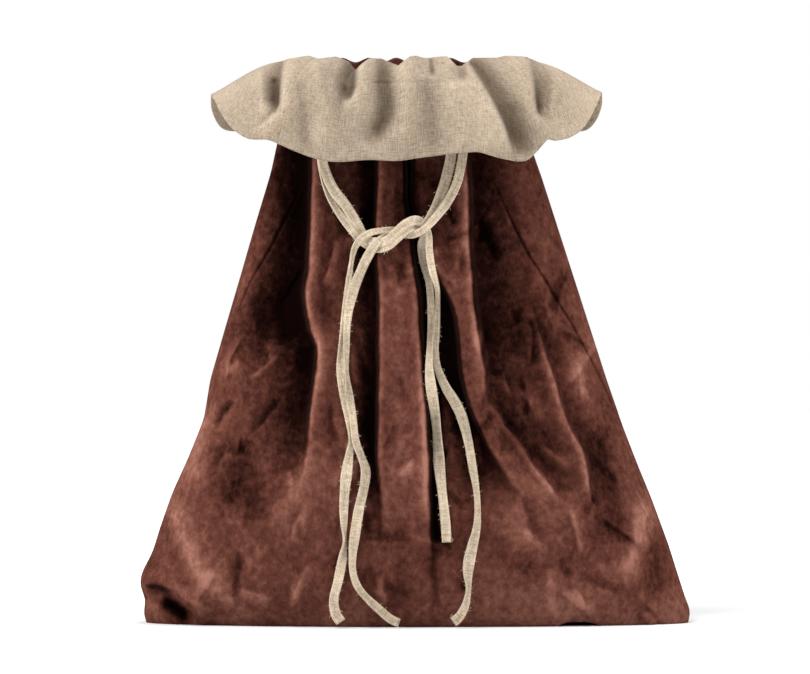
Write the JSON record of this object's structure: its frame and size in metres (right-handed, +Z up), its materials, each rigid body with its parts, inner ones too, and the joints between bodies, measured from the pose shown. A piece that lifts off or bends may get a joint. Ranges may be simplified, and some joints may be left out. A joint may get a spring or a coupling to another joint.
{
  "type": "fabric gift sack",
  "caption": "Soft velvet gift sack that widens to its base, with a gathered neck, a turned-down linen cuff and knotted linen ties.",
  "frame": {"origin": "on the floor, at the middle of the base's box without the ties", "axes": "+Z up; the front, where the ties hang, faces -Y; +X to the right as seen from the front"},
  "size_m": [0.546, 0.2504, 0.5628],
  "materials": {
    "velvet": "matt, soft pile",
    "velvet_backing": "matt",
    "cuff_linen": "matt, open weave",
    "tape_linen": "matt, open weave",
    "thread": "matt"
  },
  "bodies": {
    "sack_body": {"front_panel": "velvet", "back_panel": "velvet", "left_side_seam": "velvet_backing", "right_side_seam": "velvet_backing", "bottom_seam": "velvet_backing", "mouth_facing_front": "velvet_backing", "mouth_facing_back": "velvet_backing", "channel_tape_front": "tape_linen", "channel_tape_back": "tape_linen", "buttonhole_left": "thread", "buttonhole_right": "thread", "cuff_left_wing": "cuff_linen", "cuff_right_wing": "cuff_linen", "left_strand_inner": "tape_linen", "left_strand_outer": "tape_linen", "right_strand_inner": "tape_linen", "right_strand_outer": "tape_linen", "knot_left_loop": "tape_linen", "knot_right_loop": "tape_linen"},
    "front_flap": {"cuff_front": "cuff_linen"},
    "back_flap": {"cuff_back": "cuff_linen"},
    "left_tails": {"left_tail_outer": "tape_linen", "left_tail_inner": "tape_linen", "left_tail_outer_tack": "thread", "left_tail_inner_tack": "thread"},
    "right_tails": {"right_tail_short": "tape_linen", "right_tail_long": "tape_linen", "right_tail_short_tack": "thread", "right_tail_long_tack": "thread"}
  },
  "joints": [
    {"name": "front_flap_lift", "type": "hinge", "parent": "sack_body", "child": "front_flap", "pos_m": [-0.02, -0.024, 0.547], "axis": [-1, 0, 0], "range_deg": [0, 60]},
    {"name": "back_flap_lift", "type": "hinge", "parent": "sack_body", "child": "back_flap", "pos_m": [-0.02, 0.024, 0.547], "axis": [1, 0, 0], "range_deg": [0, 60]},
    {"name": "left_tails_lift", "type": "hinge", "parent": "sack_body", "child": "left_tails", "pos_m": [-0.066, -0.0782, 0.35], "axis": [-1, 0, 0], "range_deg": [0, 70]},
    {"name": "right_tails_lift", "type": "hinge", "parent": "sack_body", "child": "right_tails", "pos_m": [0.009, -0.0743, 0.379], "axis": [-1, 0, 0], "range_deg": [0, 70]}
  ]
}
